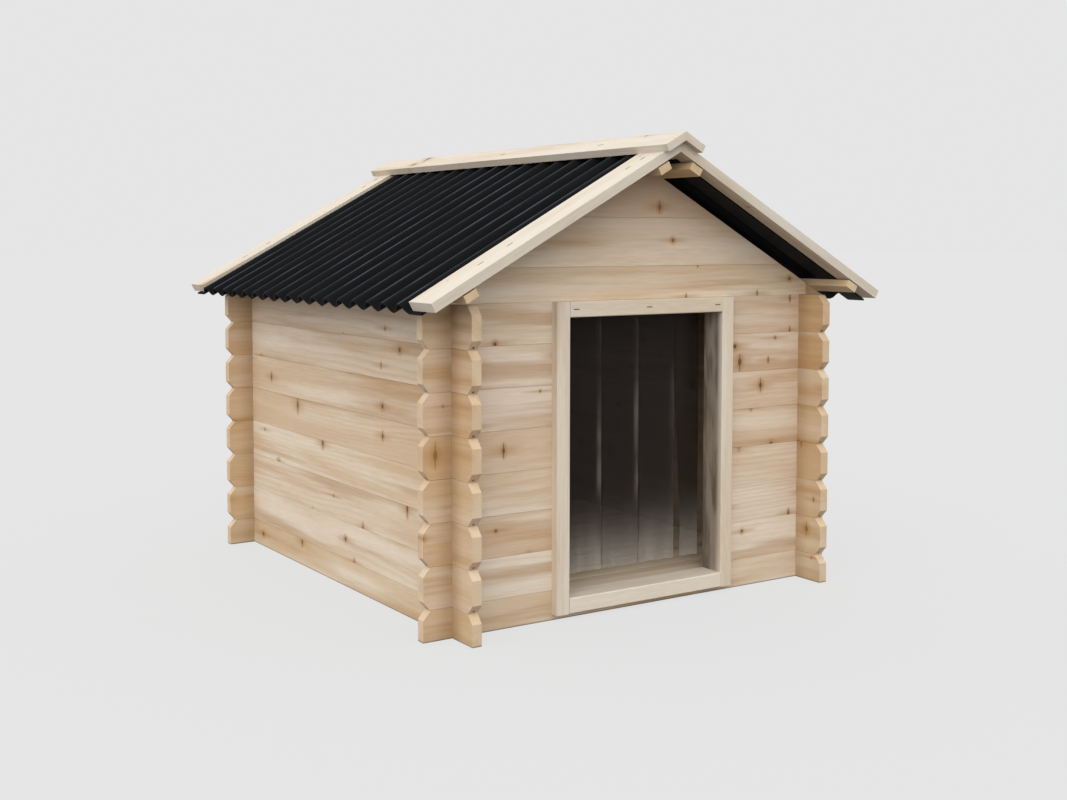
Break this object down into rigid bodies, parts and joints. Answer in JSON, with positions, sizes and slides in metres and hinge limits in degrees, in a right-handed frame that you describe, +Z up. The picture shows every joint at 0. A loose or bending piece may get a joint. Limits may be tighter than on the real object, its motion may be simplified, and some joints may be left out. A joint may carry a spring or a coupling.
{
  "type": "dog house",
  "caption": "Gabled wooden dog house of notched boards crossing at the corners, with a corrugated roof, framed doorway and a hanging strip curtain.",
  "frame": {"origin": "on the ground, in the middle of the house", "axes": "+Z up, -Y out of the doorway, +Y along the ridge to the back"},
  "size_m": [1.1002, 1.216, 0.9319],
  "materials": {
    "wall_pine": "planed raw pine boards with knots",
    "planed_pine": "pale planed raw pine",
    "floor_pine": "sawn raw pine boards",
    "bitumen_sheet": "black corrugated bitumen fibre sheet, matt and finely grained",
    "clear_pvc": "clear flexible sheet, glossy and slightly smoky",
    "nail_steel": "plain steel nail ends, flush with the wood"
  },
  "bodies": {
    "house": {"back_gable_log_1": "wall_pine", "back_gable_log_2": "wall_pine", "back_gable_log_3": "wall_pine", "back_wall_log_1": "wall_pine", "back_wall_log_2": "wall_pine", "back_wall_log_3": "wall_pine", "back_wall_log_4": "wall_pine", "back_wall_log_5": "wall_pine", "back_wall_log_6": "wall_pine", "back_wall_log_7": "wall_pine", "back_wall_log_8": "wall_pine", "curtain_clamp_batten": "planed_pine", "curtain_header": "clear_pvc", "door_head": "planed_pine", "door_sill": "planed_pine", "floor_bearer_1": "floor_pine", "floor_bearer_2": "floor_pine", "floor_bearer_3": "floor_pine", "floor_boards": "floor_pine", "front_bottom_log": "wall_pine", "front_gable_log_1": "wall_pine", "front_gable_log_2": "wall_pine", "front_gable_log_3": "wall_pine", "front_left_stub_logs": "wall_pine", "front_left_verge_board": "planed_pine", "front_right_stub_logs": "wall_pine", "front_right_verge_board": "planed_pine", "left_door_jamb": "planed_pine", "left_eave_batten": "planed_pine", "left_ridge_batten": "planed_pine", "left_ridge_plank": "planed_pine", "left_roof_sheet": "bitumen_sheet", "left_wall_log_1": "wall_pine", "left_wall_log_2": "wall_pine", "left_wall_log_3": "wall_pine", "left_wall_log_4": "wall_pine", "left_wall_log_5": "wall_pine", "left_wall_log_6": "wall_pine", "left_wall_log_7": "wall_pine", "left_wall_log_8": "wall_pine", "rear_left_verge_board": "planed_pine", "rear_right_verge_board": "planed_pine", "right_door_jamb": "planed_pine", "right_eave_batten": "planed_pine", "right_ridge_batten": "planed_pine", "right_ridge_plank": "planed_pine", "right_roof_sheet": "bitumen_sheet", "right_wall_log_1": "wall_pine", "right_wall_log_2": "wall_pine", "right_wall_log_3": "wall_pine", "right_wall_log_4": "wall_pine", "right_wall_log_5": "wall_pine", "right_wall_log_6": "wall_pine", "right_wall_log_7": "wall_pine", "right_wall_log_8": "wall_pine", "verge_nails": "nail_steel"},
    "strip_1": {"curtain_strip_1": "clear_pvc"},
    "strip_2": {"curtain_strip_2": "clear_pvc"},
    "strip_3": {"curtain_strip_3": "clear_pvc"},
    "strip_4": {"curtain_strip_4": "clear_pvc"}
  },
  "joints": [
    {"name": "strip_1_swing", "type": "hinge", "parent": "house", "child": "strip_1", "pos_m": [-0.11817, -0.442, 0.5787], "axis": [1, 0, 0], "range_deg": [-85, 85]},
    {"name": "strip_2_swing", "type": "hinge", "parent": "house", "child": "strip_2", "pos_m": [-0.0255, -0.442, 0.5787], "axis": [1, 0, 0], "range_deg": [-85, 85]},
    {"name": "strip_3_swing", "type": "hinge", "parent": "house", "child": "strip_3", "pos_m": [0.06717, -0.442, 0.5787], "axis": [1, 0, 0], "range_deg": [-85, 85]},
    {"name": "strip_4_swing", "type": "hinge", "parent": "house", "child": "strip_4", "pos_m": [0.153, -0.442, 0.5787], "axis": [1, 0, 0], "range_deg": [-85, 85]}
  ]
}
